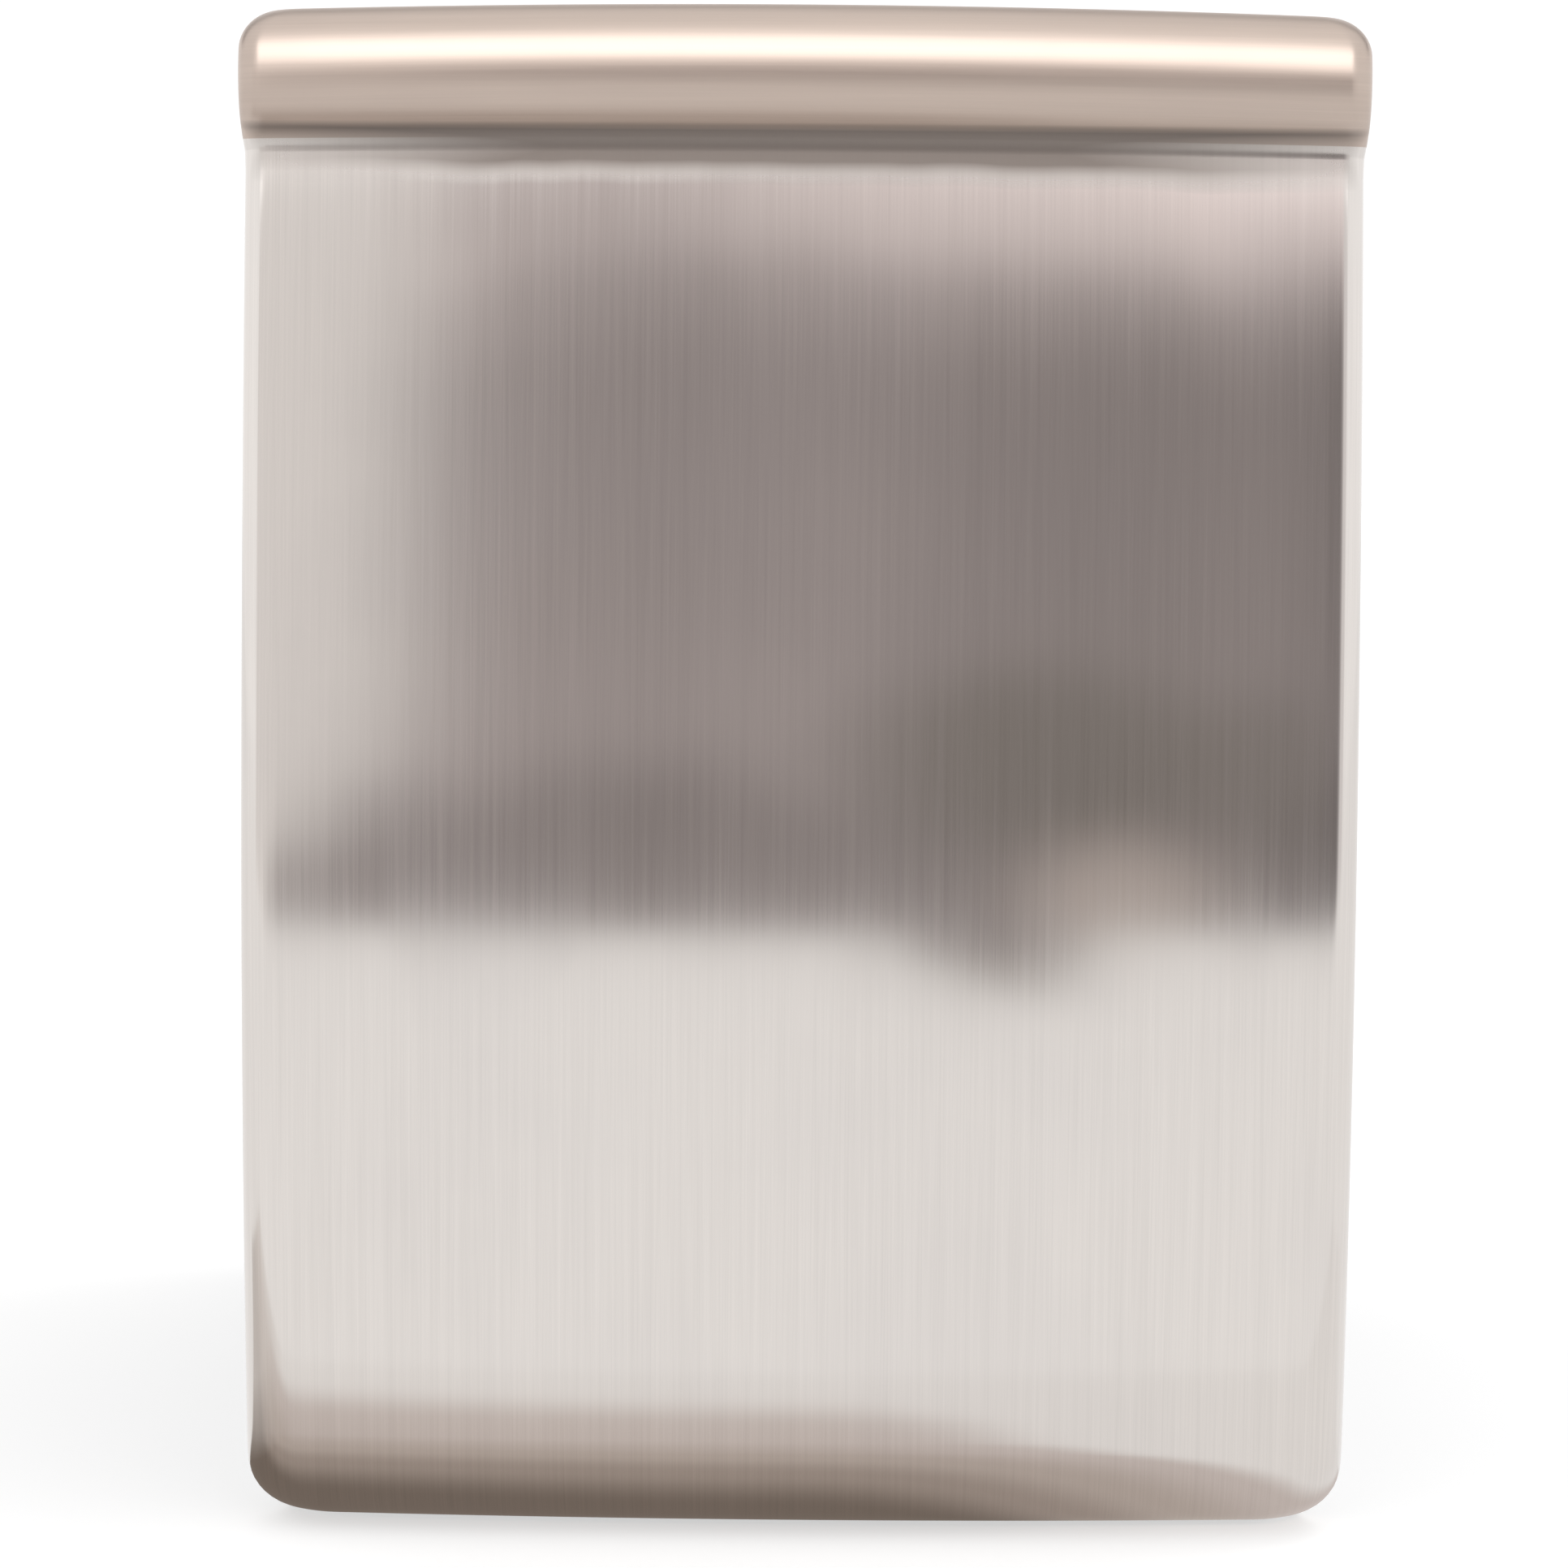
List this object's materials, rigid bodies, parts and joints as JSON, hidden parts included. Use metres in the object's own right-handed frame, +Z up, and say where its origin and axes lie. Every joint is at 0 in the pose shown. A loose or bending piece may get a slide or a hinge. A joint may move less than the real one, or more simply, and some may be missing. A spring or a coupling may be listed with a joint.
{
  "type": "trash compactor",
  "caption": "Free-standing trash compactor: bowed brushed stainless drawer front with a full-width rolled handle, bin drawer on slides, screw-driven ram above it.",
  "frame": {"origin": "on the floor, midway between the sides and between the front's belly and the rear panel", "axes": "+X to the right seen from the front, +Y to the back (the drawer opens along -Y), +Z up"},
  "size_m": [0.457, 0.61, 0.627],
  "materials": {
    "stainless": "vertical brushed satin on the face, horizontal on the rolled handle",
    "cabinet_paint": "fine textured powder coat",
    "zinc_steel": "zinc plated sheet",
    "white_enamel": "smooth enamel",
    "machined_steel": "turned, lightly oiled",
    "chain_steel": "oiled dark steel",
    "bronze": "sintered bronze",
    "motor_metal": "die-cast",
    "black_plastic": "fine moulded texture",
    "grey_plastic": "moulded texture",
    "natural_nylon": "natural nylon",
    "panel_plastic": "glossy fascia",
    "green_button": "moulded",
    "red_button": "moulded",
    "amber_lens": "translucent lens",
    "circuit_board": "coated board in a tray",
    "carbon_filter": "pleated carbon media in a frame",
    "rubber": "soft black rubber"
  },
  "bodies": {
    "cabinet": {"base_frame": "zinc_steel", "side_panel_left": "cabinet_paint", "side_panel_right": "cabinet_paint", "rear_panel": "zinc_steel", "top_panel": "cabinet_paint", "front_bezel": "white_enamel", "rear_bulkhead": "white_enamel", "inner_liners": "white_enamel", "uprights": "zinc_steel", "crosshead": "zinc_steel", "bearing_bushes": "bronze", "slide_outers": "zinc_steel", "motor_housing": "motor_metal", "motor_bracket": "zinc_steel", "drive_chain": "chain_steel", "start_capacitor": "motor_metal", "control_panel": "panel_plastic", "control_board": "circuit_board", "indicator_lens": "amber_lens", "microswitches": "black_plastic", "cord_gland": "black_plastic", "fan_frame": "black_plastic", "filter_housing": "grey_plastic", "filter_cartridge": "carbon_filter", "filter_door_pin": "machined_steel", "roller_axles": "machined_steel", "wiring_harness": "black_plastic", "cabinet_screws": "machined_steel"},
    "drawer": {"front_shell": "stainless", "front_liner": "white_enamel", "handle_stiffener": "zinc_steel", "front_gasket": "rubber", "drawer_chassis": "zinc_steel", "bin": "grey_plastic", "bag_retainer": "natural_nylon", "slide_inners": "zinc_steel"},
    "slides": {"slide_mids": "zinc_steel"},
    "ram": {"ram_plate": "white_enamel", "ram_skirt": "white_enamel", "ram_crossbar": "zinc_steel", "power_nuts": "bronze", "ram_guides": "natural_nylon"},
    "motor": {"motor_rotor": "machined_steel", "drive_pinion": "machined_steel"},
    "gear_shaft": {"jackshaft": "machined_steel", "drive_gear": "natural_nylon", "drive_sprocket": "machined_steel"},
    "left_screw": {"power_screw_left": "machined_steel", "screw_sprocket_left": "machined_steel"},
    "right_screw": {"power_screw_right": "machined_steel", "screw_sprocket_right": "machined_steel"},
    "start": {"start_button": "green_button"},
    "stop": {"stop_button": "red_button"},
    "key": {"key_knob": "black_plastic"},
    "filter_lid": {"filter_door": "cabinet_paint"},
    "fan": {"fan_rotor": "black_plastic"},
    "left_roller": {"roller_left": "rubber"},
    "right_roller": {"roller_right": "rubber"},
    "left_foot": {"foot_left": "rubber"},
    "right_foot": {"foot_right": "rubber"}
  },
  "joints": [
    {"name": "drawer_slide", "type": "slide", "parent": "cabinet", "child": "drawer", "axis": [0, -1, 0], "range_m": [0, 0.4]},
    {"name": "slide_travel", "type": "slide", "parent": "cabinet", "child": "slides", "axis": [0, -1, 0], "range_m": [0, 0.2]},
    {"name": "motor_turn", "type": "hinge", "parent": "cabinet", "child": "motor", "pos_m": [-0.0525, 0.22835, 0.1], "axis": [0, 0, -1], "range_deg": [0, 45360]},
    {"name": "gear_shaft_turn", "type": "hinge", "parent": "cabinet", "child": "gear_shaft", "pos_m": [0, 0.22835, 0.06], "axis": [0, 0, 1], "range_deg": [0, 9072.5]},
    {"name": "left_screw_turn", "type": "hinge", "parent": "cabinet", "child": "left_screw", "pos_m": [-0.18, -0.04, 0.3], "axis": [0, 0, 1], "range_deg": [0, 6480.5]},
    {"name": "right_screw_turn", "type": "hinge", "parent": "cabinet", "child": "right_screw", "pos_m": [0.18, -0.04, 0.3], "axis": [0, 0, 1], "range_deg": [0, 6480.5]},
    {"name": "ram_travel", "type": "slide", "parent": "cabinet", "child": "ram", "axis": [0, 0, -1], "range_m": [0, 0.18002]},
    {"name": "start_press", "type": "slide", "parent": "cabinet", "child": "start", "axis": [0, 0, -1], "range_m": [0, 0.002], "stiffness_N_per_m": 300},
    {"name": "stop_press", "type": "slide", "parent": "cabinet", "child": "stop", "axis": [0, 0, -1], "range_m": [0, 0.002], "stiffness_N_per_m": 300},
    {"name": "key_turn", "type": "hinge", "parent": "cabinet", "child": "key", "pos_m": [0.035, -0.211, 0.619], "axis": [0, 0, -1], "range_deg": [0, 90]},
    {"name": "filter_door_swing", "type": "hinge", "parent": "cabinet", "child": "filter_lid", "pos_m": [0, 0.282, 0.6174], "axis": [-1, 0, 0], "range_deg": [0, 100]},
    {"name": "fan_turn", "type": "hinge", "parent": "cabinet", "child": "fan", "pos_m": [0, 0.232, 0.5], "axis": [0, 0, 1], "continuous": true},
    {"name": "left_roller_turn", "type": "hinge", "parent": "cabinet", "child": "left_roller", "pos_m": [-0.165, 0.268, 0.0105], "axis": [1, 0, 0], "continuous": true},
    {"name": "right_roller_turn", "type": "hinge", "parent": "cabinet", "child": "right_roller", "pos_m": [0.165, 0.268, 0.0105], "axis": [1, 0, 0], "continuous": true},
    {"name": "left_foot_turn", "type": "hinge", "parent": "cabinet", "child": "left_foot", "pos_m": [-0.18, -0.215, 0.02], "axis": [0, 0, 1], "range_deg": [-360, 360]},
    {"name": "right_foot_turn", "type": "hinge", "parent": "cabinet", "child": "right_foot", "pos_m": [0.18, -0.215, 0.02], "axis": [0, 0, 1], "range_deg": [-360, 360]}
  ],
  "couplings": [
    {"joint": "slide_travel", "follows": "drawer_slide", "ratio": 0.5},
    {"joint": "gear_shaft_turn", "follows": "motor_turn", "ratio": 0.2},
    {"joint": "left_screw_turn", "follows": "motor_turn", "ratio": 0.14286},
    {"joint": "right_screw_turn", "follows": "motor_turn", "ratio": 0.14286},
    {"joint": "ram_travel", "follows": "motor_turn", "m_per_rad": 0.00022736}
  ]
}
